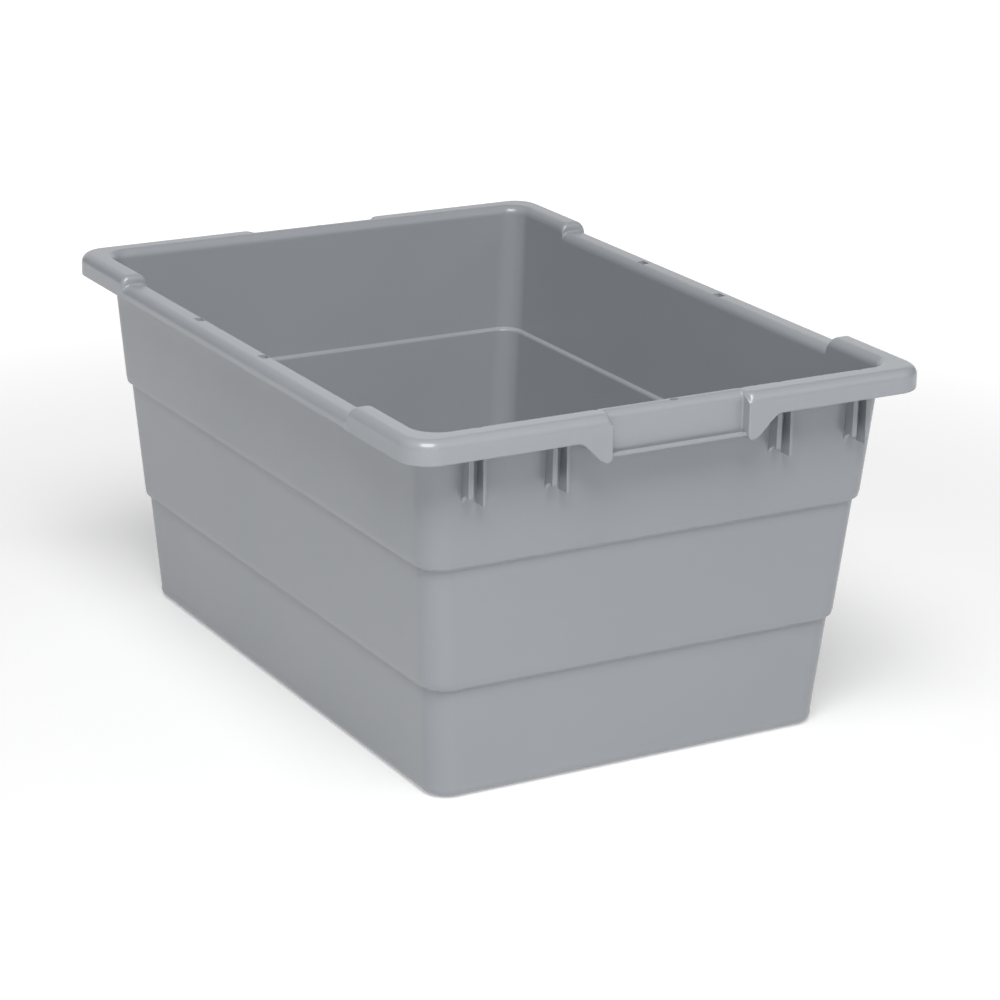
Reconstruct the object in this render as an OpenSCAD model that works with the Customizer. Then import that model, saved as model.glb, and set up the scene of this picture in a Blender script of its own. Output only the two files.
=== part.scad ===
// Open nesting and cross-stacking tub: one moulding, modelled as its named regions.
// X runs along the length, Y across the width, Z up. The origin is the centre of the base, on the floor.
// Regions meet face to face. End "a" is +X and end "b" is -X; side "a" is -Y and side "b" is +Y.

/* [Rim] */
// Length over the rim
rim_length = 603; // [560:1:640]
// Width over the rim
rim_width = 440; // [410:1:470]
// Height to the top of the raised rim corners
total_height = 297; // [285:1:310]
// Drop of the long rims between the raised corners
side_rim_drop = 7.5; // [6:0.5:10]
// Corner radius of the rim in plan
rim_corner_radius = 24; // [18:1:30]
// Depth of the outer skirt below the raised rim top
skirt_depth = 18.2; // [15:0.1:22]
// Thickness of the skirt and the other rim walls
rim_wall = 3; // [2:0.5:4]

/* [Body] */
// Length of the base at floor level
base_length = 503.6; // [480:0.1:520]
// Width of the base at floor level
base_width = 343.6; // [320:0.1:360]
// Outward lean of every wall, in mm for each mm of height
wall_lean = 0.08; // [0.05:0.005:0.09]
// Height of the lower step
lower_step_height = 89.5; // [60:0.5:100]
// Height of the upper step
upper_step_height = 187.5; // [150:0.5:200]
// How far the lower step stands out
lower_step_out = 2.8; // [1:0.1:4]
// How far the upper step stands out
upper_step_out = 3.1; // [1:0.1:4]
// Thickness of the walls and of the floor
wall = 3; // [2:0.5:4]
// Corner radius of the walls in plan
wall_corner_radius = 20; // [11:1:22]

/* [Floor] */
// Where the stacking groove under the floor starts, from the centre
groove_start = 205; // [190:1:210]
// Where the groove is deepest, from the centre
groove_deep = 211; // [207:1:220]
// Where the groove runs out again, from the centre
groove_end = 239; // [228:1:241]
// Depth of the groove
groove_depth = 3.2; // [1:0.1:4]

/* [Grip] */
// Width of the recessed grip between the hoods
grip_width = 116; // [90:1:140]
// How far the grip panel is set back from the skirt
grip_setback = 9; // [6:0.5:10]
// Height of the lip under the grip panel
lip_height = 264; // [262:0.5:270]
// How far the lip stands out from the panel
lip_out = 5; // [3:0.5:6]
// Height of the lowest point of the hood lobes
lobe_height = 261.5; // [258:0.5:268]

/* [Ribs] */
// Distance of the inner rib pairs from the middle of the end
inner_pair_y = 96.3; // [92:0.1:110]
// Distance of the outer rib pairs from the middle of the end
outer_pair_y = 164.8; // [140:0.1:170]
// Spacing of the two ribs of a pair
rib_spacing = 11; // [8:0.5:14]
// How far the ribs stand out from the wall at their foot
rib_out = 11; // [8:0.5:14]
// Height of the foot of the ribs
rib_foot_height = 238.5; // [230:0.5:250]

/* [Hidden] */

$fn = 64;

// Colour of the moulding
plastic = [0.60, 0.62, 0.64];

// Half sizes
half_length = rim_length / 2;
half_width = rim_width / 2;
base_half_length = base_length / 2;
base_half_width = base_width / 2;

// Heights
skirt_bottom = total_height - skirt_depth;
side_rim_top = total_height - side_rim_drop;
step_rise = 3;

// Top of the rim: a hollow cap with a round on each side, closed below by the wall and the skirt
cap_round = 8;
cap_bottom = total_height - cap_round;
cap_hollow_top = total_height - rim_wall;
cap_steps = 5;
least_leg = 0.5;
wall_top = side_rim_top - cap_round - least_leg;
side_rim_inset = 1;

// Raised corners: where the top is level, and where its round meets the long rim
crown_foot_x = 198.5;
crown_reach = 7;
crown_level_x = crown_foot_x + crown_reach;
crown_steps = 6;

// Bottom edge: round outside and sloped inside, below where the walls start to lean
bottom_round = 7;
bottom_round_steps = 5;
foot_height = bottom_round + wall;
cover_margin = 0.5;
corner_steps = 8;

// Place where the end rim hands over to the rim corners, a little before the walls start to bend
bend_margin = 4;
joint_y = base_half_width + wall_growth(cap_bottom) - wall_corner_radius - bend_margin;

// Through slots in the long rims
slot_x = [-80, 36];
slot_length = 9.5;
slot_width = 6.5;
slot_y = 205.5;

// Grip
grip_round = 7;
grip_half = grip_width / 2;
panel_face = half_length - grip_setback;
lip_thickness = 2.8;
lobe_end = 88;
lobe_flat = 4;
lobe_steps = 12;

// Ribs
notched_rib_thickness = 4;
plain_rib_thickness = 3.6;
rib_pair_shift = -1;
rib_notch_radius = 8.3;
rib_tip_height = rib_foot_height + 7;
rib_face = base_half_length + wall_growth(rib_foot_height) + rib_out;
rib_pair_y = [-outer_pair_y, -inner_pair_y, inner_pair_y, outer_pair_y];

large = 800;

// How far the outer wall face stands out from its place at the foot
function wall_growth(z) =
    wall_lean * max(0, z - foot_height)
    + (z > lower_step_height ? lower_step_out : 0)
    + (z > upper_step_height ? upper_step_out : 0);

// A wall section is a closed outline of [inset from the outer face, height] points
function bottom_edge() = [
    for (i = [0 : bottom_round_steps])
        let (angle = 90 * i / bottom_round_steps)
        [bottom_round * (1 - sin(angle)), bottom_round * (1 - cos(angle))]
];

function lower_section() = concat(
    bottom_edge(),
    [[0, foot_height], [0, lower_step_height], [wall, lower_step_height], [wall, foot_height]],
    [[bottom_round, wall]]
);

// A tier above a step starts with a short slope that carries it outwards
function tier_section(z_low, z_high) = [
    [0, z_low], [0, z_low + step_rise], [0, z_high],
    [wall, z_high], [wall, z_low + step_rise], [wall, z_low]
];

lower_levels = [0, foot_height, lower_step_height];
middle_levels = [lower_step_height, lower_step_height + step_rise, upper_step_height];
upper_levels = [upper_step_height, upper_step_height + step_rise, wall_top];

// Straight wall that faces +X, as long as the span between its two corners at each height
module wall_slab(section, levels, half_face, half_span) {
    ends = [for (z = levels) [half_span + wall_growth(z) - wall_corner_radius, z]];
    count = len(levels);
    intersection() {
        translate([0, large / 2, 0])
            rotate([90, 0, 0])
                linear_extrude(height = large)
                    polygon([for (p = section) [half_face + wall_growth(p[1]) - p[0], p[1]]]);
        rotate([90, 0, 90])
            linear_extrude(height = large)
                polygon(concat(ends, [for (i = [1 : count]) [-ends[count - i][0], ends[count - i][1]]]));
    }
}

module end_slab(section, levels) {
    wall_slab(section, levels, base_half_length, base_half_width);
}

// The same for the +Y side
module side_slab(section, levels) {
    rotate(90)
        wall_slab(section, levels, base_half_width, base_half_length);
}

// Mirrors that place a piece drawn at the +X end, the +Y side or the +X +Y corner
module at_end(end) {
    mirror([end == "b" ? 1 : 0, 0, 0])
        children();
}

module at_side(side) {
    mirror([0, side == "a" ? 1 : 0, 0])
        children();
}

module at_corner(end, hand) {
    at_end(end)
        at_side(hand == "left" ? "a" : "b")
            children();
}

// Shallow groove across the underside near each end, where the tub sits on another one's long rims
module groove_cut() {
    for (s = [-1, 1])
        translate([0, large / 2, 0])
            rotate([90, 0, 0])
                linear_extrude(height = large)
                    polygon([
                        [s * groove_start, -1], [s * groove_start, 0],
                        [s * groove_deep, groove_depth], [s * (groove_deep + wall), groove_depth],
                        [s * groove_end, 0], [s * groove_end, -1]
                    ]);
}

// The floor rises over the groove and keeps its thickness
module groove_cover(y_low, y_high) {
    for (s = [-1, 1])
        translate([0, y_high, 0])
            rotate([90, 0, 0])
                linear_extrude(height = y_high - y_low)
                    polygon([
                        [s * (groove_start - wall), wall / 2], [s * (groove_start - wall), wall],
                        [s * (groove_deep - wall), groove_depth + wall],
                        [s * (groove_deep + wall), groove_depth + wall],
                        [s * groove_end, wall], [s * groove_end, wall / 2]
                    ]);
}

module rounded_rectangle(half_x, half_y, radius) {
    square([2 * (half_x - radius), 2 * half_y], center = true);
    square([2 * half_x, 2 * (half_y - radius)], center = true);
    for (sx = [-1, 1], sy = [-1, 1])
        translate([sx * (half_x - radius), sy * (half_y - radius)])
            circle(r = radius);
}

module base_panel() {
    edge_x = base_half_length - bottom_round;
    edge_y = base_half_width - bottom_round;
    color(plastic)
        difference() {
            union() {
                linear_extrude(height = wall)
                    rounded_rectangle(edge_x, edge_y, wall_corner_radius - bottom_round);
                groove_cover(-edge_y, edge_y);
            }
            groove_cut();
        }
}

module lower_end_wall(end) {
    color(plastic)
        at_end(end)
            end_slab(lower_section(), lower_levels);
}

module lower_side_wall(side) {
    cover_high = base_half_width - wall - cover_margin;
    cover_low = base_half_width - bottom_round;
    straight = base_half_length - wall_corner_radius;
    color(plastic)
        at_side(side)
            difference() {
                union() {
                    side_slab(lower_section(), lower_levels);
                    intersection() {
                        groove_cover(cover_low, cover_high);
                        translate([-straight, 0, 0])
                            cube([2 * straight, large, foot_height]);
                    }
                }
                groove_cut();
            }
}

module middle_end_wall(end) {
    color(plastic)
        at_end(end)
            end_slab(tier_section(lower_step_height, upper_step_height), middle_levels);
}

module middle_side_wall(side) {
    color(plastic)
        at_side(side)
            side_slab(tier_section(lower_step_height, upper_step_height), middle_levels);
}

module upper_end_wall(end) {
    color(plastic)
        at_end(end)
            end_slab(tier_section(upper_step_height, wall_top), upper_levels);
}

module upper_side_wall(side) {
    color(plastic)
        at_side(side)
            side_slab(tier_section(upper_step_height, wall_top), upper_levels);
}

// A closed strip of columns, each with the same number of points. Each column's outline is the
// outer points upwards, then the inner points downwards.
module skin(columns, caps) {
    n = len(columns[0]);
    m = len(columns);
    sides = [
        for (c = [0 : m - 2], k = [0 : n - 1])
            let (a = c * n + k, b = c * n + (k + 1) % n)
            each [[a, a + n, b + n], [a, b + n, b]]
    ];
    last = [for (cap = caps) [for (i = [len(cap) - 1 : -1 : 0]) (m - 1) * n + cap[i]]];
    polyhedron(
        points = [for (column = columns) each column],
        faces = concat(sides, caps, last),
        convexity = 6
    );
}

// Corner of the walls over their whole height, with both steps
corner_levels = concat(
    [foot_height, lower_step_height, lower_step_height + step_rise],
    [upper_step_height, upper_step_height + step_rise, wall_top]
);

module wall_corner(end, hand) {
    level_count = len(corner_levels);
    round_count = bottom_round_steps + 1;
    section = concat(
        bottom_edge(),
        [for (z = corner_levels) [0, z]],
        [for (i = [1 : level_count]) [wall, corner_levels[level_count - i]]],
        [[bottom_round, wall]]
    );
    last_point = len(section) - 1;
    // The end faces are cut into one flat piece for the foot and one for each level
    foot_cap = concat([for (i = [0 : round_count]) i], [last_point - 1, last_point]);
    level_caps = [
        for (i = [0 : level_count - 2])
            let (low = round_count + i, inner_low = last_point - 1 - i)
            [low, low + 1, inner_low - 1, inner_low]
    ];
    columns = [
        for (j = [0 : corner_steps])
            let (angle = 90 * j / corner_steps)
            [
                for (p = section)
                    let (
                        radius = wall_corner_radius - p[0],
                        shift = wall_growth(p[1]) - wall_corner_radius
                    )
                    [
                        base_half_length + shift + radius * cos(angle),
                        base_half_width + shift + radius * sin(angle),
                        p[1]
                    ]
            ]
    ];
    color(plastic)
        at_corner(end, hand)
            difference() {
                skin(columns, concat([foot_cap], level_caps));
                groove_cut();
            }
}

// Outline of the rim's cross section. Each point is [outer, offset, height]: the offset is measured
// inwards from the rim's outer face when outer is 1, and outwards from the tub's inner face when it is 0.
function rim_top(setback, round) = concat(
    [[0, 0, wall_top], [0, 0, cap_bottom]],
    [
        for (i = [1 : cap_steps])
            let (angle = 90 * i / cap_steps)
            [0, cap_round * (1 - cos(angle)), cap_bottom + cap_round * sin(angle)]
    ],
    [
        for (i = [0 : cap_steps])
            let (angle = 90 * (1 - i / cap_steps))
            [1, setback + round * (1 - cos(angle)), total_height - round * (1 - sin(angle))]
    ]
);

function rim_hollow(setback, round) = [
    [1, setback + rim_wall, cap_bottom],
    [1, setback + round, cap_hollow_top],
    [0, cap_round, cap_hollow_top],
    [0, wall, cap_bottom],
    [0, wall, wall_top]
];

function cap_outline(setback, round) = concat(
    rim_top(setback, round),
    [[1, setback, cap_bottom]],
    rim_hollow(setback, round)
);

function solid_outline() = concat(
    rim_top(0, cap_round),
    [[0, wall, cap_bottom], [0, wall, wall_top]]
);

function skirted_outline() = concat(
    rim_top(0, cap_round),
    [[1, 0, skirt_bottom], [1, rim_wall, skirt_bottom]],
    rim_hollow(0, cap_round)
);

// Height of a rim point when the top has dropped; the ends of the wall and the skirt stay where they are
function lowered(z, drop) = z < cap_bottom ? z : z - drop;

// Distance from the tub's middle to a rim point, on an axis where the foot and the rim have these half sizes
function rim_place(p, drop, base_half, rim_half) =
    p[0] == 1
        ? rim_half - p[1]
        : base_half + wall_growth(min(lowered(p[2], drop), cap_bottom - drop)) - wall + p[1];

module end_rim_strip(outline, y_low, y_high) {
    translate([0, y_high, 0])
        rotate([90, 0, 0])
            linear_extrude(height = y_high - y_low)
                polygon([for (p = outline) [rim_place(p, 0, base_half_length, half_length), p[2]]]);
}

module end_rim(end) {
    color(plastic)
        at_end(end) {
            end_rim_strip(cap_outline(grip_setback, grip_round), -grip_half, grip_half);
            for (side = ["a", "b"])
                at_side(side) {
                    end_rim_strip(solid_outline(), grip_half, grip_half + rim_wall);
                    end_rim_strip(cap_outline(0, cap_round), grip_half + rim_wall, joint_y);
                }
        }
}

// Long rim between the raised corners: the same cap, lower and set in a little, over a short skirt
module side_rim(side) {
    face = half_width - side_rim_inset;
    color(plastic)
        at_side(side)
            difference() {
                translate([-crown_foot_x, 0, 0])
                    rotate([90, 0, 90])
                        linear_extrude(height = 2 * crown_foot_x)
                            polygon([
                                for (p = skirted_outline())
                                    [
                                        rim_place(p, side_rim_drop, base_half_width, face),
                                        lowered(p[2], side_rim_drop)
                                    ]
                            ]);
                for (x = slot_x)
                    translate([x - slot_length / 2, slot_y - slot_width / 2, skirt_bottom])
                        cube([slot_length, slot_width, large]);
            }
}

// Centre of the corner's curve for a rim point, along an axis with these half sizes, and the
// distance of the point from there
function bend_centre(p, drop, base_half, rim_half) =
    rim_place(p, drop, base_half, rim_half) - bend_radius(p);

function bend_radius(p) =
    p[0] == 1 ? rim_corner_radius - p[1] : wall_corner_radius - wall + p[1];

// Raised corner of the rim, from the end rim round to the long rim
module rim_corner(end, hand) {
    outline = skirted_outline();
    points = [for (i = [1 : len(outline)]) outline[len(outline) - i]];
    function x_at(p, angle) =
        bend_centre(p, 0, base_half_length, half_length) + bend_radius(p) * cos(angle);
    function y_at(p, angle, drop) =
        bend_centre(p, drop, base_half_width, half_width) + bend_radius(p) * sin(angle);
    start = [[for (p = points) [x_at(p, 0), joint_y, p[2]]]];
    bend = [
        for (j = [0 : corner_steps])
            let (angle = 90 * j / corner_steps)
            [for (p = points) [x_at(p, angle), y_at(p, angle, 0), p[2]]]
    ];
    run_out = [
        for (j = [0 : crown_steps])
            let (
                angle = 90 * j / crown_steps,
                drop = side_rim_drop * (1 - cos(angle)),
                x = crown_level_x - crown_reach * sin(angle)
            )
            [for (p = points) [x, y_at(p, 90, drop), lowered(p[2], drop)]]
    ];
    whole = [for (i = [0 : len(points) - 1]) i];
    color(plastic)
        at_corner(end, hand)
            skin(concat(start, bend, run_out), [whole]);
}

// Skirt between the rim corner and the grip, with the lobe that hangs beside the grip and the wall
// that returns from the lobe to the grip panel
module grip_hood(end, hand) {
    lobe_start = grip_half + lobe_flat;
    lobe_curve = [
        for (i = [0 : lobe_steps])
            let (t = i / lobe_steps, rise = t * t * (3 - 2 * t))
            [lobe_start + t * (lobe_end - lobe_start), lobe_height + rise * (skirt_bottom - lobe_height)]
    ];
    color(plastic)
        at_corner(end, hand) {
            translate([half_length - rim_wall, 0, 0])
                rotate([90, 0, 90])
                    linear_extrude(height = rim_wall)
                        polygon(concat(
                            [[grip_half, cap_bottom], [grip_half, lobe_height]],
                            lobe_curve,
                            [[joint_y, skirt_bottom], [joint_y, cap_bottom]]
                        ));
            translate([panel_face - rim_wall, grip_half, lip_height])
                cube([grip_setback, rim_wall, cap_bottom - lip_height]);
        }
}

module grip_panel(end) {
    color(plastic)
        at_end(end)
            translate([panel_face - rim_wall, -grip_half, lip_height])
                cube([rim_wall, grip_width, cap_bottom - lip_height]);
}

module grip_lip(end) {
    color(plastic)
        at_end(end)
            translate([panel_face, -grip_half, lip_height])
                cube([lip_out, grip_width, lip_thickness]);
}

// Outline of a rib seen from the side: it follows the wall, stands under the rim and ends at its foot
function rib_outline() = [
    [base_half_length + wall_growth(rib_foot_height), rib_foot_height],
    [rib_face, rib_foot_height],
    [rib_face, cap_hollow_top],
    [base_half_length + wall_growth(cap_bottom) + cap_round - wall, cap_hollow_top],
    [base_half_length + wall_growth(cap_bottom), cap_bottom]
];

module rib(y_middle, thickness) {
    translate([0, y_middle + thickness / 2, 0])
        rotate([90, 0, 0])
            linear_extrude(height = thickness)
                children();
}

// Two ribs of a pair: one notched at its foot and one plain
module rib_pair(end, number) {
    y = rib_pair_y[number - 1] + rib_pair_shift;
    notch_x = base_half_length + wall_growth(rib_foot_height) + rib_notch_radius;
    color(plastic)
        at_end(end) {
            rib(y, notched_rib_thickness)
                difference() {
                    polygon(rib_outline());
                    translate([notch_x, rib_foot_height])
                        circle(r = rib_notch_radius);
                    translate([notch_x, 0])
                        square([rib_out, rib_tip_height]);
                }
            rib(y + rib_spacing, plain_rib_thickness)
                polygon(rib_outline());
        }
}

base_panel();
lower_end_wall("a");  // lower_end_wall_a
lower_end_wall("b");  // lower_end_wall_b
lower_side_wall("a");  // lower_side_wall_a
lower_side_wall("b");  // lower_side_wall_b
middle_end_wall("a");  // middle_end_wall_a
middle_end_wall("b");  // middle_end_wall_b
middle_side_wall("a");  // middle_side_wall_a
middle_side_wall("b");  // middle_side_wall_b
upper_end_wall("a");  // upper_end_wall_a
upper_end_wall("b");  // upper_end_wall_b
upper_side_wall("a");  // upper_side_wall_a
upper_side_wall("b");  // upper_side_wall_b
wall_corner("a", "left");  // wall_corner_a_left
wall_corner("a", "right");  // wall_corner_a_right
wall_corner("b", "left");  // wall_corner_b_left
wall_corner("b", "right");  // wall_corner_b_right
end_rim("a");  // end_rim_a
end_rim("b");  // end_rim_b
side_rim("a");  // side_rim_a
side_rim("b");  // side_rim_b
rim_corner("a", "left");  // rim_corner_a_left
rim_corner("a", "right");  // rim_corner_a_right
rim_corner("b", "left");  // rim_corner_b_left
rim_corner("b", "right");  // rim_corner_b_right
grip_hood("a", "left");  // grip_hood_a_left
grip_hood("a", "right");  // grip_hood_a_right
grip_hood("b", "left");  // grip_hood_b_left
grip_hood("b", "right");  // grip_hood_b_right
grip_panel("a");  // grip_panel_a
grip_panel("b");  // grip_panel_b
grip_lip("a");  // grip_lip_a
grip_lip("b");  // grip_lip_b
rib_pair("a", 1);  // rib_pair_a_1
rib_pair("a", 2);  // rib_pair_a_2
rib_pair("a", 3);  // rib_pair_a_3
rib_pair("a", 4);  // rib_pair_a_4
rib_pair("b", 1);  // rib_pair_b_1
rib_pair("b", 2);  // rib_pair_b_2
rib_pair("b", 3);  // rib_pair_b_3
rib_pair("b", 4);  // rib_pair_b_4
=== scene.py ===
import math

import bmesh
import bpy
from mathutils import Matrix, Vector


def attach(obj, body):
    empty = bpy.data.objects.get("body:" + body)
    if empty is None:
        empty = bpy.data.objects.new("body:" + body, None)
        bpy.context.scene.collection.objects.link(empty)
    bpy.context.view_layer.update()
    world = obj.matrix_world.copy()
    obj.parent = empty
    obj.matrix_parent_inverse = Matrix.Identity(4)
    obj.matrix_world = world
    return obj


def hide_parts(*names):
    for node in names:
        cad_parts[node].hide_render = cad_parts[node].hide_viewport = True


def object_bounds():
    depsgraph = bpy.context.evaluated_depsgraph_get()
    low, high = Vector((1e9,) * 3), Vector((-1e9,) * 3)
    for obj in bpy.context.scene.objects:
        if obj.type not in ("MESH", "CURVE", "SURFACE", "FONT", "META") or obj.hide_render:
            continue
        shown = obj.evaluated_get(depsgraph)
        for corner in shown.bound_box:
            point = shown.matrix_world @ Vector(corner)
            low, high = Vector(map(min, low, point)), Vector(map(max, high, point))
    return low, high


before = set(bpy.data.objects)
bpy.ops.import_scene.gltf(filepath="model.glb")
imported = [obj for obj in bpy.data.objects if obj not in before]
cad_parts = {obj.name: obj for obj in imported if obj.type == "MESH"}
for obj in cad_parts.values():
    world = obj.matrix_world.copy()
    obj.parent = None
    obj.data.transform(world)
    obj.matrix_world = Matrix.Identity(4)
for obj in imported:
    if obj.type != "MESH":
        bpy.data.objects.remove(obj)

cad_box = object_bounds()

# ---------------------------------------------------------------------------
# Sizes of the tub, in millimetres, as in the CAD. Meshes are made in metres.
# ---------------------------------------------------------------------------
MM = 0.001
low_corner, high_corner = cad_box
HALF_LENGTH = (high_corner[0] - low_corner[0]) / 2 / MM
HALF_WIDTH = (high_corner[1] - low_corner[1]) / 2 / MM
TOP = high_corner[2] / MM

BASE_X, BASE_Y = 251.8, 171.8       # half sizes of the base
LEAN = 0.08                         # outward lean of the walls
FOOT = 10.0                         # where the lean starts
STEPS = ((89.5, 2.8), (187.5, 3.1))  # height and width of the two steps
STEP_RISE = 3.0
# Outer face of a step after its foot: (further out, height above the foot, radius, pieces)
STEP_OUTSIDE = ((-0.45, 1.9, 0.9, 6), (0.25, 6.5, 12.0, 4))
STEP_FOOT_ROUND = 0.8
# Ledge inside: height above the step's foot and radius, at its lip and at its root
LEDGE_LIP, LEDGE_ROOT, LEDGE_ROOT_IN = (1.3, 0.5), (1.1, 2.9), 0.1
LEAN_ROUND = 60.0                   # softens the bend where the lean starts
WALL = 3.0
WALL_R = 20.0                       # corner radius of the outer wall face
RIM_R = 24.0                        # corner radius of the rim
BOTTOM_R = 7.0
FLOOR_EDGE_IN = 3.0                 # flat strip of the underside inside that round
FLOOR_ROUND = 7.0                   # round between floor and walls, inside
FLOOR_STRIP = 12.0                  # flat strip of the floor inside that round
CAP_R = 8.0                         # round of the rim's edges
CAP = TOP - CAP_R                   # where those rounds end
GRIP_TOP_R = 7.0                    # round on top of the grip panel
HOLLOW = TOP - WALL                 # ceiling of the hollow under the rim
HOLLOW_R = 2.0                      # round between that ceiling and the skirt
HOLLOW_LEDGE = 6.5                  # how far that ceiling reaches out from the wall
SKIRT = 278.8                       # bottom edge of the skirt
DROP = 7.5                          # the long rims lie this much lower
DROP_FROM, DROP_TO = 205.6, 198.5   # where a raised corner's end starts and stops
DROP_BLEND = 6.0                    # the drop fades out below the rim, from this far under it
CROWN_R, CROWN_FILLET = 5.0, 1.1    # rounds of that end
SIDE_INSET = 1.0                    # the long rims lie this far inside the corners
INSET_FROM, INSET_LENGTH = 3.0, 9.0  # where that starts, past DROP_TO, and its length
SLOT_X = (-80.0, 36.0)
SLOT_L, SLOT_W, SLOT_Y = 9.5, 6.5, 205.5
SLOT_BELOW = 4.0                    # the slots are cut this far below the rim's top wall
GRIP = 58.0                         # half width of the grip
SETBACK = 9.0                       # how far the grip panel lies behind the skirt
GRIP_SOFT, GRIP_SOFT_Y = 8.0, 5.0    # soft corner on top of each hood, inwards and along
LIP_Z, LIP_T, LIP_OUT = 264.2, 2.8, 5.0
LOBE_Z, LOBE_FLAT, LOBE_END, LOBE_ROUND = 261.3, 62.0, 87.0, 3.6
GATE_X, GATE_Y = 286.4, 1.4         # small moulded dimple on top of each grip
GATE_SIZE, GATE_DEPTH = (1.7, 3.6), 1.6
RIB_FOOT = 238.5
# Groove under the floor: (distance from the middle, depth)
GROOVE = ((205.0, 0.0), (211.0, 3.2), (214.0, 3.2), (239.0, 0.0))


def lerp(a, b, t):
    return a + (b - a) * t


def smooth(t):
    t = min(1.0, max(0.0, t))
    return t * t * (3 - 2 * t)


def growth(z):
    """How far the outer wall face stands out from its place at the foot."""
    out = LEAN * max(0.0, z - FOOT)
    for height, step in STEPS:
        out += step * min(1.0, max(0.0, (z - height) / STEP_RISE))
    return out


def polyline_height(x, line):
    """Height of a line of (x, z) points at a distance x from the middle, 0 past its ends."""
    x = abs(x)
    if x <= line[0][0] or x >= line[-1][0]:
        return 0.0
    for (x0, z0), (x1, z1) in zip(line, line[1:]):
        if x <= x1:
            return lerp(z0, z1, (x - x0) / (x1 - x0))
    return 0.0


def rounded(points):
    """A path with its corners rounded. Each point is (a, z, radius, pieces)."""
    out = []
    for i, (a, z, radius, pieces) in enumerate(points):
        if radius == 0 or i in (0, len(points) - 1):
            out.append((a, z))
            continue
        here = Vector((a, z))
        back = (Vector(points[i - 1][:2]) - here).normalized()
        on = (Vector(points[i + 1][:2]) - here).normalized()
        half = back.angle(on) / 2
        reach = radius / math.tan(half)
        centre = here + (back + on).normalized() * radius / math.sin(half)
        start = here + back * reach - centre
        turn = math.pi - 2 * half
        side = 1 if start.cross(here + on * reach - centre) > 0 else -1
        for j in range(pieces + 1):
            angle = side * turn * j / pieces
            c, s = math.cos(angle), math.sin(angle)
            out.append((centre.x + start.x * c - start.y * s,
                        centre.y + start.x * s + start.y * c))
    return out


# ---------------------------------------------------------------------------
# Section through the wall and rim: a list of points (kind, offset, z). Wall
# points are offset outwards from the wall's place at the foot, rim points
# inwards from the rim's outer face. A path is a list of (offset, z, radius,
# pieces) until its corners are rounded.
# ---------------------------------------------------------------------------
ARC = [math.radians(9 * i) for i in range(11)]
HOLLOW_ARC = [math.radians(angle) for angle in (30, 60, 90)]


def outer_wall():
    """From the underside, up the outer face, to the ceiling of the hollow rim."""
    path = [(-BOTTOM_R - FLOOR_EDGE_IN, 0, 0, 0), (-BOTTOM_R, 0, 0, 0)]
    for angle in ARC[1:]:
        path.append((-BOTTOM_R * (1 - math.sin(angle)),
                     BOTTOM_R * (1 - math.cos(angle)), 0, 0))
    path.append((0, FOOT, LEAN_ROUND, 4))
    for height, _ in STEPS:
        path.append((growth(height), height, STEP_FOOT_ROUND, 4))
        for further, up, radius, pieces in STEP_OUTSIDE:
            path.append((growth(height + STEP_RISE) + further, height + up, radius, pieces))
    path.append((growth(HOLLOW) - 0.4, HOLLOW, 1.6, 4))
    path.append((growth(CAP) + HOLLOW_LEDGE, HOLLOW, 0, 0))
    return rounded(path)


def inner_wall():
    """From the flat top of the rim, down the inner face, to the floor."""
    face = growth(CAP) - WALL
    path = [(face + CAP_R, TOP, 0, 0)]
    for angle in ARC[1:]:
        path.append((face + CAP_R * (1 - math.sin(angle)),
                     TOP - CAP_R * (1 - math.cos(angle)), 0, 0))
    for height, _ in reversed(STEPS):
        up, radius = LEDGE_LIP
        path.append((growth(height + STEP_RISE) - WALL, height + up, radius, 3))
        up, radius = LEDGE_ROOT
        path.append((growth(height) - WALL - LEDGE_ROOT_IN, height + up, radius, 9))
    path.append((-WALL, WALL, FLOOR_ROUND, 8))
    path.append((-WALL - FLOOR_STRIP, WALL, 0, 0))
    return rounded(path)


def skirt_bottom_points(g, bottom, top):
    """Lower edge of the skirt (g = 0) or of the grip panel with its lip (g = 1)."""
    h = min(1.0, (top - bottom) / 4)
    s = SETBACK
    skirt = [(3, bottom + h), (2.75, bottom + 0.3 * h), (2.1, bottom), (1.5, bottom),
             (1.0, bottom), (0.6, bottom + 0.1 * h), (0.3, bottom + 0.3 * h),
             (0.1, bottom + 0.6 * h), (0, bottom + h), (0, bottom + 2 * h),
             (0, bottom + 3 * h), (0, bottom + 4 * h)]
    lip = LIP_Z + LIP_T
    out = s - LIP_OUT
    grip = [(s + 3, LIP_Z + 0.8), (s + 2.75, LIP_Z + 0.2), (s + 2, LIP_Z), (out + 0.6, LIP_Z),
            (out + 0.15, LIP_Z + 0.15), (out, LIP_Z + 0.5), (out, lip - 0.4),
            (out + 0.25, lip), (out + 0.8, lip), (out + 1.3, lip - 1.2),
            (s - 0.5, lip - 1.2), (s, lip - 0.6)]
    return [(lerp(a[0], b[0], g), lerp(a[1], b[1], g)) for a, b in zip(skirt, grip)]


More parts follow.
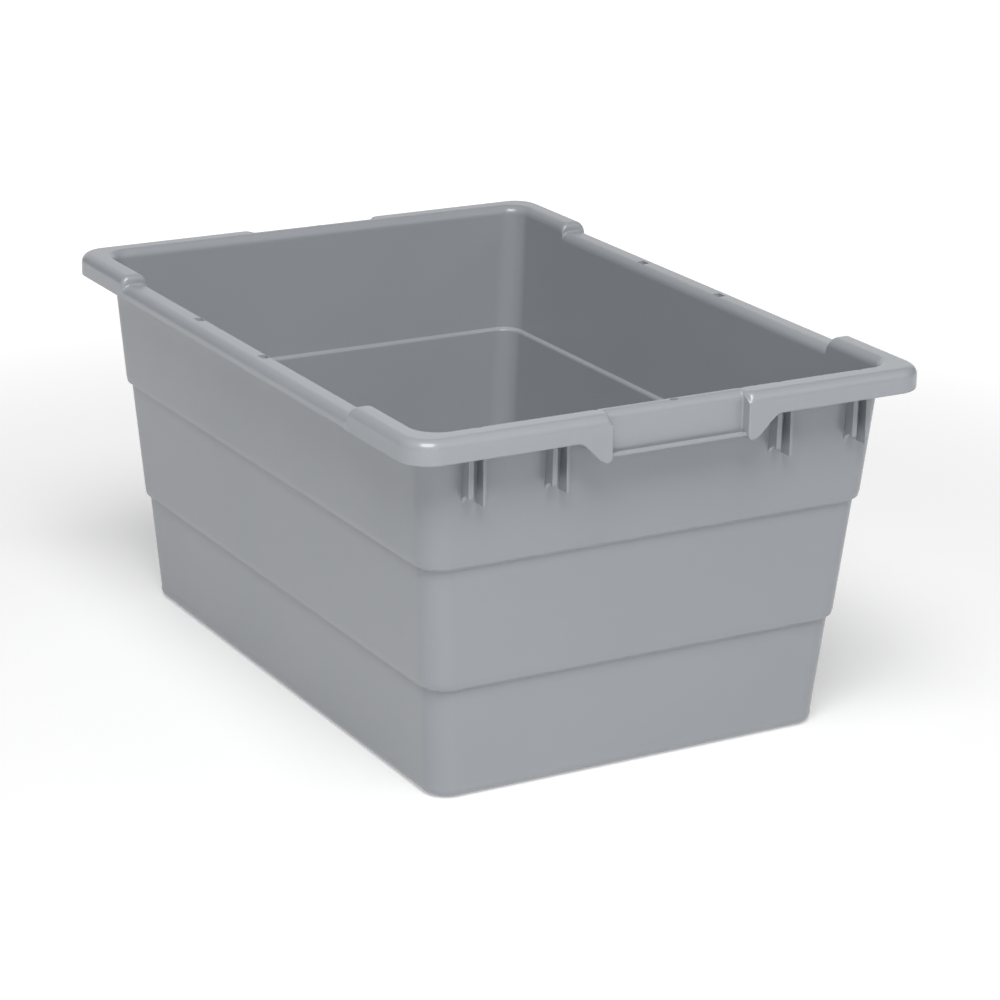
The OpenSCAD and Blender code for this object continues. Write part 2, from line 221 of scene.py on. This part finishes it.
def section(st):
    """All points of the section at one station, from the underside round to the floor."""
    drop, inset = st["drop"], st["inset"]
    pts = []
    shift = growth(CAP) - growth(CAP - drop)
    blend_from = CAP - DROP - DROP_BLEND
    for n, z in outer_wall():
        if z > blend_from:
            k = smooth((z - blend_from) / 8)
            pts.append(("wall", n - shift * k, z - drop * k))
        else:
            pts.append(("wall", n, z))
    pts.append(("rim", CAP_R + st["in"] + inset, HOLLOW - drop))
    for a in HOLLOW_ARC:
        pts.append(("rim", WALL + st["in"] + inset + HOLLOW_R * (1 - math.sin(a)),
                    HOLLOW - drop - HOLLOW_R * (1 - math.cos(a))))
    low = skirt_bottom_points(st["lip"], st["bottom"], CAP - drop)
    for i, (u, z) in enumerate(low):
        if st["lip"] == 0:
            extra = st["in"] if i < 2 else lerp(st["in"], st["out"], min(1, (i - 1) / 3))
            pts.append(("rim", u + extra + inset, z))
        else:
            pts.append(("rim", u + (st["out"] - SETBACK) + inset, z))
    radius = lerp(CAP_R, GRIP_TOP_R, st["out"] / SETBACK)
    for a in ARC:
        soft = st["soft"] * math.sin(a)
        pts.append(("rim", st["out"] + inset + soft + radius * (1 - math.cos(a)),
                    TOP - drop - radius * (1 - math.sin(a))))
    for n, z in inner_wall():
        if z > blend_from:
            k = 1 if z >= CAP else smooth((z - blend_from) / (DROP + DROP_BLEND))
            pts.append(("wall", n - shift * k, z - drop * k))
        else:
            pts.append(("wall", n, z))
    return pts


# ---------------------------------------------------------------------------
# Stations round one quarter of the tub, from the middle of an end to the
# middle of a side
# ---------------------------------------------------------------------------
def lobe_bottom(y):
    """Lower edge of the hood: a lobe beside the grip that rises to the skirt's edge."""
    if y < LOBE_FLAT:
        t = min(1.0, (LOBE_FLAT - y) / LOBE_ROUND)
        return LOBE_Z + LOBE_ROUND * (1 - math.sqrt(1 - t * t))
    return lerp(LOBE_Z, SKIRT, smooth((y - LOBE_FLAT) / (LOBE_END - LOBE_FLAT)))


CROWN_END = rounded(((DROP_FROM + 6, 0, 0, 0), (DROP_TO + 1.4, 0, CROWN_R, 10),
                     (DROP_TO + 0.5, DROP, CROWN_FILLET, 5), (DROP_TO - 2, DROP, 0, 0)))


def drop_at(x):
    """The crown's end: a convex round, then a small fillet into the long rim."""
    if x >= DROP_FROM:
        return 0.0
    if x <= DROP_TO:
        return DROP
    for (x0, d0), (x1, d1) in zip(CROWN_END, CROWN_END[1:]):
        if x >= x1:
            return lerp(d0, d1, (x0 - x) / (x0 - x1))
    return DROP


# A station is a place on the way round, with what its section needs: kind and q (its place
# along the end, the side or the corner), t (share of the way to the corner, or None), out (how
# far the face is set back), in (how far the skirt's inside is), lip (1 at the grip), soft (how
# far the hood's top corner is drawn in), drop, inset and bottom (height of the skirt's edge).
def end_station(y, out=0.0, inner=0.0, lip=0.0, t=None):
    reach = 1 - min(1.0, max(0.0, (abs(y) - GRIP - 1) / GRIP_SOFT_Y)) if t is None else 0.0
    soft = GRIP_SOFT * (1 - math.sqrt(1 - reach * reach)) if out < SETBACK / 2 else 0.0
    return {"kind": "end", "q": y, "t": t, "out": out, "in": inner, "lip": lip, "soft": soft,
            "drop": 0.0, "inset": 0.0, "bottom": lobe_bottom(y) if t is None else SKIRT}


def side_station(x, t=None):
    drop = drop_at(x) if t is None else 0.0
    inset = 0.0
    if t is None:
        inset = SIDE_INSET * smooth((DROP_TO + INSET_FROM - x) / INSET_LENGTH)
    return {"kind": "side", "q": x, "t": t, "out": 0.0, "in": 0.0, "lip": 0.0, "soft": 0.0,
            "drop": drop, "inset": inset, "bottom": SKIRT}


# Where the straight stations hand over to stations that follow the corner's radius
END_FREE, SIDE_FREE = 150.0, 212.0
# Ends of the grip, as seen in plan: fillet at the panel, round at the hood's edge, and the
# hood's side wall behind it
GRIP_FILLET, HOOD_ROUND, HOOD_GAP = 1.0, 1.0, 0.12
HOOD_WALL = ((59.6, SETBACK), (60.2, SETBACK), (61.0, SETBACK), (61.4, 0.0))
CORNER_PIECES = 24


def quarter_stations():
    """Stations from the middle of an end to the middle of a side, closer where more bends."""
    stations = []
    y = 0.0
    while y < 56:
        stations.append(end_station(y, SETBACK, SETBACK, 1.0))
        y += 4.0
    turns = [math.radians(22.5 * i) for i in range(5)]
    for a in turns:
        stations.append(end_station(GRIP - GRIP_FILLET * (1 - math.sin(a)),
                                    SETBACK - GRIP_FILLET * (1 - math.cos(a)), SETBACK, 1.0))
    for a in turns:
        stations.append(end_station(GRIP + HOOD_GAP + HOOD_ROUND * (1 - math.cos(a)),
                                    HOOD_ROUND * (1 - math.sin(a)), SETBACK, 0.0))
    for y, inner in HOOD_WALL:
        stations.append(end_station(y, 0.0, inner))
    y = 62.0
    while y < 87.5:
        stations.append(end_station(y))
        y += 1.1
    while y < END_FREE - 1:
        stations.append(end_station(y))
        y += 2.0
    stations.append(end_station(END_FREE))
    for i in range(1, 25):
        stations.append(end_station(END_FREE, t=i / 24))
    for i in range(1, CORNER_PIECES):
        stations.append({"kind": "corner", "q": math.pi / 2 * i / CORNER_PIECES, "t": None,
                         "out": 0.0, "in": 0.0, "lip": 0.0, "soft": 0.0, "drop": 0.0,
                         "inset": 0.0, "bottom": SKIRT})
    for i in range(12, 0, -1):
        stations.append(side_station(SIDE_FREE, t=i / 12))
    stations.append(side_station(SIDE_FREE))
    stations += [side_station(x) for x, _ in CROWN_END[1:-1]]
    stations += [side_station(DROP_TO - d) for d in (1.0, 1.6, 2.4, 3.6, 4.8, 6.0)]
    stations += [side_station(float(x)) for x in range(192, -1, -12)]
    return stations


def place(st, point):
    """Position of a section point in the first quarter, in millimetres."""
    where, off, z = point
    if where == "rim":
        x, y = HALF_LENGTH - off, HALF_WIDTH - off
        radius = RIM_R - off
    else:
        x, y = BASE_X + off, BASE_Y + off
        radius = WALL_R + off - growth(min(z, CAP))
    if st["kind"] == "corner":
        c, s = math.cos(st["q"]), math.sin(st["q"])
        return x - radius + radius * c, y - radius + radius * s, z
    if st["kind"] == "end":
        return x, st["q"] if st["t"] is None else lerp(END_FREE, y - radius, st["t"]), z
    return st["q"] if st["t"] is None else lerp(SIDE_FREE, x - radius, st["t"]), y, z


# Faint moulding marks: small dips on the inner edge of the end rims, and sink
# lines on the skirt where the ribs join it from behind
EDGE_MARKS = (-157.5, -62.5, 62.5, 96.5, 168.5)
EDGE_MARK_DEPTH, EDGE_MARK_WIDTH = 0.4, 2.0
SINKS = (-164.0, -95.3, 97.3, 165.8)
SINK_DEPTH, SINK_WIDTH = 0.22, 2.2
FLOOR_SHIFT = 1.5                   # the floor inside rises this far ahead of the groove


def bump(x, centre, width):
    return math.exp(-((x - centre) / width) ** 2)


def detail(x, y, z, point):
    """Small departures from the plain section."""
    where, off, _ = point
    end = HALF_LENGTH - abs(x) < 40 and abs(y) < 190
    if end and z > TOP - 2.2 and where == "wall":
        z -= sum(EDGE_MARK_DEPTH * bump(y, m, EDGE_MARK_WIDTH) for m in EDGE_MARKS)
    if end and where == "rim" and off < 0.5 and SKIRT < z <= CAP:
        x -= math.copysign(sum(SINK_DEPTH * bump(y, m, SINK_WIDTH) for m in SINKS), x)
    # Groove under the floor, and the rise of the floor over it
    if where == "wall" and off < 1.0 and z < 6.5:
        inside = off < -BOTTOM_R - 3.01 or (z >= WALL - 0.01 and off < -WALL + 0.01)
        if inside:
            rise = polyline_height(abs(x) + FLOOR_SHIFT, GROOVE)
            z = max(z, WALL + rise if rise > 0 else z)
        else:
            z = max(z, polyline_height(x, GROOVE))
    return x, y, z


def build_shell():
    """The whole moulding but its ribs, as one closed skin swept round the tub."""
    quarter = quarter_stations()

    def column(st, sx, sy):
        out = []
        for p in section(st):
            x, y, z = place(st, p)
            out.append(detail(sx * x, sy * y, z, p))
        return out

    loop = []
    for st in quarter:
        loop.append((st, 1, 1))
    for st in reversed(quarter[:-1]):
        loop.append((st, -1, 1))
    for st in quarter[1:]:
        loop.append((st, -1, -1))
    for st in reversed(quarter[1:-1]):
        loop.append((st, 1, -1))
    columns = [column(*item) for item in loop]
    rows = len(columns[0])
    total = len(columns)
    verts = [p for col in columns for p in col]
    faces = []
    for c in range(total):
        d = (c + 1) % total
        for r in range(rows - 1):
            faces.append((c * rows + r, d * rows + r, d * rows + r + 1, c * rows + r + 1))
    # Floor: below and above, as strips from side to side
    straight = sum(1 for st in quarter if st["kind"] == "end") - 1
    half = total // 2
    for row, flip in ((0, False), (rows - 1, True)):
        def v(c):
            return (c % total) * rows + row
        for k in range(straight, half - straight):
            quad = [v(k), v(k + 1), v(total - k - 1), v(total - k)]
            if k == straight:
                quad += [v(c) for c in range(total - straight + 1, total + straight)]
            if k == half - straight - 1:
                quad[2:2] = [v(c) for c in range(half - straight + 1, half + straight)]
            faces.append(tuple(quad[::-1] if not flip else quad))
    mesh = bpy.data.meshes.new("tub_shell")
    mesh.from_pydata([Vector(p) * MM for p in verts], [], faces)
    mesh.validate()
    obj = bpy.data.objects.new("tub_shell", mesh)
    bpy.context.scene.collection.objects.link(obj)
    bm = bmesh.new()
    bm.from_mesh(mesh)
    bmesh.ops.remove_doubles(bm, verts=bm.verts, dist=1e-6)
    bmesh.ops.recalc_face_normals(bm, faces=bm.faces)
    bm.to_mesh(mesh)
    bm.free()
    return obj


def finish_mesh(obj, sharp=None):
    """Smooth shading, with edges past the angle "sharp" left sharp."""
    obj.data.polygons.foreach_set("use_smooth", [True] * len(obj.data.polygons))
    if sharp:
        obj.data.set_sharp_from_angle(angle=math.radians(sharp))
    mod = obj.modifiers.new("normals", "WEIGHTED_NORMAL")
    mod.mode = "FACE_AREA"
    mod.weight = 50
    mod.keep_sharp = bool(sharp)


def prism(outline, z_low, z_high):
    """A closed upright prism over an outline, in millimetres, for cutting."""
    n = len(outline)
    mesh = bpy.data.meshes.new("cutter")
    verts = [Vector((x, y, z)) * MM for z in (z_low, z_high) for x, y in outline]
    sides = [(i, (i + 1) % n, n + (i + 1) % n, n + i) for i in range(n)]
    mesh.from_pydata(verts, [], sides + [tuple(range(n))[::-1], tuple(range(n, 2 * n))])
    obj = bpy.data.objects.new("cutter", mesh)
    bpy.context.scene.collection.objects.link(obj)
    return obj


def cut(obj, cutters):
    """Cuts the cutters out of the piece and deletes them."""
    for cutter in cutters:
        mod = obj.modifiers.new("cut", "BOOLEAN")
        mod.operation = "DIFFERENCE"
        mod.solver = "EXACT"
        mod.object = cutter
    graph = bpy.context.evaluated_depsgraph_get()
    mesh = bpy.data.meshes.new_from_object(obj.evaluated_get(graph))
    obj.modifiers.clear()
    obj.data = mesh
    for cutter in cutters:
        bpy.data.objects.remove(cutter)


def shell_cutters():
    """Through slots in the long rims and the dimple on top of each grip."""
    cutters = []
    for x in SLOT_X:
        for y in (-SLOT_Y, SLOT_Y):
            outline = [(x - SLOT_L / 2, y - SLOT_W / 2), (x + SLOT_L / 2, y - SLOT_W / 2),
                       (x + SLOT_L / 2, y + SLOT_W / 2), (x - SLOT_L / 2, y + SLOT_W / 2)]
            cutters.append(prism(outline, HOLLOW - DROP - SLOT_BELOW, TOP + 1))
    radius_x, radius_y = GATE_SIZE
    for side in (-1, 1):
        turns = [2 * math.pi * i / 20 for i in range(20)]
        outline = [(side * GATE_X + radius_x * math.cos(t), GATE_Y + radius_y * math.sin(t))
                   for t in turns]
        cutters.append(prism(outline, TOP - GATE_DEPTH, TOP + 1))
    return cutters


# ---------------------------------------------------------------------------
# Ribs: each pair is a notched rib and a plain one
# ---------------------------------------------------------------------------
RIB_PAIR_Y = (-164.8, -96.3, 96.3, 164.8)
RIB_SHIFT, RIB_SPACING, RIB_OUT = -1.0, 11.0, 11.0
RIB_SINK = 0.6                      # how far the ribs reach into the wall
RIB_ROUND = 0.6
NOTCH_R, NOTCH_T, PLAIN_T = 8.3, 4.0, 3.8
PLAIN_TAPER = 0.5                   # the plain rib thins towards its foot
RIB_TIP = 7.0


def rib_outline(notched):
    """Outline of a rib seen from the side, as (x, z) points."""
    foot = BASE_X + growth(RIB_FOOT) - RIB_SINK
    face = foot + RIB_SINK + RIB_OUT
    outline = [(face, HOLLOW - 0.2)]
    if notched:
        outline.append((face, RIB_FOOT + RIB_TIP))
        cx = foot + RIB_SINK + NOTCH_R
        for i in range(0, 13):
            a = math.radians(90 + 90 * i / 12)
            outline.append((cx + NOTCH_R * math.cos(a), RIB_FOOT + NOTCH_R * math.sin(a)))
        outline.append((foot, RIB_FOOT))
    else:
        outline.append((face, RIB_FOOT))
        outline.append((foot, RIB_FOOT))
    outline.append((BASE_X + growth(CAP) - RIB_SINK, CAP))
    outline.append((BASE_X + growth(CAP) + 3.6, HOLLOW - 0.2))
    return outline


def build_rib_pair(end, number):
    """A notched rib and a plain one, at end "a" (+X) or "b" (-X)."""
    sign = 1 if end == "a" else -1
    bm = bmesh.new()
    y0 = RIB_PAIR_Y[number - 1] + RIB_SHIFT
    for notched, y, thick in ((True, y0, NOTCH_T), (False, y0 + RIB_SPACING, PLAIN_T)):
        outline = rib_outline(notched)
        taper = 0.0 if notched else PLAIN_TAPER
        half = [thick / 2 * (1 - taper * (HOLLOW - pz) / (HOLLOW - RIB_FOOT)) for _, pz in outline]
        a = [bm.verts.new((sign * px * MM, (y - h) * MM, pz * MM))
             for (px, pz), h in zip(outline, half)]
        b = [bm.verts.new((sign * px * MM, (y + h) * MM, pz * MM))
             for (px, pz), h in zip(outline, half)]
        n = len(outline)
        bm.faces.new(a)
        bm.faces.new(b[::-1])
        for i in range(n):
            j = (i + 1) % n
            bm.faces.new((a[i], b[i], b[j], a[j]))
    bmesh.ops.recalc_face_normals(bm, faces=bm.faces)
    name = f"ribs_{end}_{number}"
    mesh = bpy.data.meshes.new(name)
    bm.to_mesh(mesh)
    bm.free()
    obj = bpy.data.objects.new(name, mesh)
    bpy.context.scene.collection.objects.link(obj)
    bevel = obj.modifiers.new("rounds", "BEVEL")
    bevel.width = RIB_ROUND * MM
    bevel.segments = 3
    bevel.limit_method = "ANGLE"
    bevel.angle_limit = math.radians(40)
    finish_mesh(obj)
    return obj


# ---------------------------------------------------------------------------
# Moulded plastic
# ---------------------------------------------------------------------------
SHADES = ((0.312, 0.330, 0.354, 1), (0.330, 0.346, 0.368, 1))
IOR = 1.49
ROUGHNESS = (0.21, 0.262)
# Noise: (scale, detail, roughness)
CLOUD, FLOW, GRAIN, WAVES = (5.0, 3.0, 0.55), (3.0, 2.0, 0.5), (1400.0, 2.0, 0.6), (28.0, 2.0, 0.5)
FLOW_STRETCH = (1.0, 1.0, 0.35)
# Relief: (strength, distance in metres)
GRAIN_RELIEF, WAVE_RELIEF = (0.12, 0.0002), (0.10, 0.0012)


def plastic():
    """Grey plastic with a faint cloudy tone, uneven gloss, fine grain and slight waves."""
    mat = bpy.data.materials.new("moulded_plastic")
    mat.use_nodes = True
    tree = mat.node_tree
    tree.nodes.clear()
    new = tree.nodes.new
    link = tree.links.new
    out = new("ShaderNodeOutputMaterial")
    bsdf = new("ShaderNodeBsdfPrincipled")
    link(bsdf.outputs["BSDF"], out.inputs["Surface"])
    bsdf.inputs["IOR"].default_value = IOR
    coords = new("ShaderNodeTexCoord")

    def noise(scale, detail_, rough=0.5, stretch=None):
        node = new("ShaderNodeTexNoise")
        node.inputs["Scale"].default_value = scale
        node.inputs["Detail"].default_value = detail_
        node.inputs["Roughness"].default_value = rough
        if stretch:
            mapping = new("ShaderNodeMapping")
            mapping.inputs["Scale"].default_value = stretch
            link(coords.outputs["Object"], mapping.inputs["Vector"])
            link(mapping.outputs["Vector"], node.inputs["Vector"])
        else:
            link(coords.outputs["Object"], node.inputs["Vector"])
        return node.outputs["Fac"]

    def ramp(value, low, high):
        node = new("ShaderNodeMapRange")
        node.interpolation_type = "SMOOTHERSTEP"
        node.inputs["To Min"].default_value = low
        node.inputs["To Max"].default_value = high
        node.inputs["From Min"].default_value = 0.2
        node.inputs["From Max"].default_value = 0.8
        link(value, node.inputs["Value"])
        return node.outputs["Result"]

    cloud = noise(*CLOUD)
    flow = noise(*FLOW, FLOW_STRETCH)
    mix = new("ShaderNodeMix")
    mix.data_type = "RGBA"
    mix.inputs["A"].default_value, mix.inputs["B"].default_value = SHADES
    link(ramp(cloud, 0.0, 1.0), mix.inputs["Factor"])
    link(mix.outputs["Result"], bsdf.inputs["Base Color"])
    link(ramp(flow, *ROUGHNESS), bsdf.inputs["Roughness"])

    def relief(height, strength, distance):
        node = new("ShaderNodeBump")
        node.inputs["Strength"].default_value = strength
        node.inputs["Distance"].default_value = distance
        link(height, node.inputs["Height"])
        return node

    fine = relief(noise(*GRAIN), *GRAIN_RELIEF)
    broad = relief(noise(*WAVES), *WAVE_RELIEF)
    link(fine.outputs["Normal"], broad.inputs["Normal"])
    link(broad.outputs["Normal"], bsdf.inputs["Normal"])
    return mat


# ---------------------------------------------------------------------------
# Build
# ---------------------------------------------------------------------------
SHARP_ANGLE = 45                    # edges of the shell past this stay sharp
material = plastic()
shell = build_shell()
cut(shell, shell_cutters())
finish_mesh(shell, SHARP_ANGLE)
shell.data.materials.append(material)
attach(shell, "root")
rib_names = [f"rib_pair_{e}_{n}" for e in "ab" for n in (1, 2, 3, 4)]
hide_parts(*[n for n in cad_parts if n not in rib_names])
for e in "ab":
    for n in (1, 2, 3, 4):
        ribs = build_rib_pair(e, n)
        ribs.data.materials.append(material)
        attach(ribs, "root")
        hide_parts(f"rib_pair_{e}_{n}")

# ---------------------------------------------------------------------------
# Floor, light and camera
# ---------------------------------------------------------------------------
FLOOR_HALF, WORLD_LIGHT = 12.0, 0.04
FLOOR_SHADE, FLOOR_ROUGHNESS = (0.6, 0.6, 0.6, 1), 0.7
# The floor glows a little, more so away from the tub, so that it stays white
NEAR_GLOW, FAR_GLOW, GLOW_FROM, GLOW_TO = 0.40, 0.80, 0.4, 1.6
floor_mat = bpy.data.materials.new("floor_white")
floor_mat.use_nodes = True
floor_bsdf = floor_mat.node_tree.nodes["Principled BSDF"]
floor_bsdf.inputs["Base Color"].default_value = FLOOR_SHADE
floor_bsdf.inputs["Roughness"].default_value = FLOOR_ROUGHNESS
floor_bsdf.inputs["Emission Color"].default_value = (1, 1, 1, 1)
floor_tree = floor_mat.node_tree
floor_place = floor_tree.nodes.new("ShaderNodeTexCoord")
floor_far = floor_tree.nodes.new("ShaderNodeVectorMath")
floor_far.operation = "LENGTH"
floor_glow = floor_tree.nodes.new("ShaderNodeMapRange")
floor_glow.interpolation_type = "SMOOTHERSTEP"
floor_glow.inputs["From Min"].default_value = GLOW_FROM
floor_glow.inputs["From Max"].default_value = GLOW_TO
floor_glow.inputs["To Min"].default_value = NEAR_GLOW
floor_glow.inputs["To Max"].default_value = FAR_GLOW
floor_tree.links.new(floor_place.outputs["Object"], floor_far.inputs[0])
floor_tree.links.new(floor_far.outputs["Value"], floor_glow.inputs["Value"])
floor_tree.links.new(floor_glow.outputs["Result"], floor_bsdf.inputs["Emission Strength"])
floor_mesh = bpy.data.meshes.new("floor")
floor_corners = [(-FLOOR_HALF, -FLOOR_HALF, 0), (FLOOR_HALF, -FLOOR_HALF, 0),
                 (FLOOR_HALF, FLOOR_HALF, 0), (-FLOOR_HALF, FLOOR_HALF, 0)]
floor_mesh.from_pydata(floor_corners, [], [(0, 1, 2, 3)])
floor = bpy.data.objects.new("floor", floor_mesh)
bpy.context.scene.collection.objects.link(floor)
floor_mesh.materials.append(floor_mat)

world = bpy.data.worlds.new("studio")
bpy.context.scene.world = world
world.use_nodes = True
background = world.node_tree.nodes["Background"]
background.inputs["Color"].default_value = (1, 1, 1, 1)
background.inputs["Strength"].default_value = WORLD_LIGHT
bpy.context.scene.view_settings.view_transform = "Standard"

CAM_AZ, CAM_EL, CAM_ROLL = map(math.radians, (60.356, 18.608, 1.045))
CAM_DIST, CAM_FOCAL, CAM_TARGET_Z = 2.6579, 3.2842, 0.1377   # focal length in picture widths
CAM_SHIFT_X, CAM_SHIFT_Y = 0.0258, -0.0053
SENSOR = 36.0
back = Vector((math.sin(CAM_AZ) * math.cos(CAM_EL), -math.cos(CAM_AZ) * math.cos(CAM_EL),
               math.sin(CAM_EL)))
right = (-back).cross(Vector((0, 0, 1))).normalized()
up = right.cross(-back)
rolled_right = right * math.cos(CAM_ROLL) + up * math.sin(CAM_ROLL)
rolled_up = -right * math.sin(CAM_ROLL) + up * math.cos(CAM_ROLL)
cam_data = bpy.data.cameras.new("camera")
cam = bpy.data.objects.new("camera", cam_data)
bpy.context.scene.collection.objects.link(cam)
cam_matrix = Matrix((rolled_right, rolled_up, back)).transposed().to_4x4()
cam_matrix.translation = Vector((0, 0, CAM_TARGET_Z)) + back * CAM_DIST
cam.matrix_world = cam_matrix
cam_data.sensor_width = SENSOR
cam_data.lens = SENSOR * CAM_FOCAL
cam_data.shift_x, cam_data.shift_y = CAM_SHIFT_X, CAM_SHIFT_Y
cam_data.clip_end = 50
bpy.context.scene.camera = cam


AIM_Z = 0.15                        # height that the lights face


def area_light(name, azimuth, elevation, distance, size, power):
    """A softbox that faces the tub, out of sight of the camera."""
    data = bpy.data.lights.new(name, "AREA")
    data.shape = "RECTANGLE"
    data.size, data.size_y = size
    data.energy = power
    obj = bpy.data.objects.new(name, data)
    bpy.context.scene.collection.objects.link(obj)
    az, el = math.radians(azimuth), math.radians(elevation)
    way = Vector((math.cos(el) * math.cos(az), math.cos(el) * math.sin(az), math.sin(el)))
    obj.location = Vector((0, 0, AIM_Z)) + way * distance
    obj.rotation_euler = (-way).to_track_quat("-Z", "Y").to_euler()
    obj.visible_camera = False


# name, azimuth and elevation in degrees, distance and size in metres, power in watts
area_light("key", -30, 59, 3.0, (1.6, 1.6), 96)
area_light("side_right", 45, 34, 3.0, (1.4, 1.4), 5)
area_light("strip_front", -17, 27, 3.0, (2.6, 0.3), 2.5)
area_light("strip_tall", -7, 14, 3.0, (0.25, 1.3), 2)
area_light("backdrop", 155, 16, 3.4, (5.0, 2.0), 24)
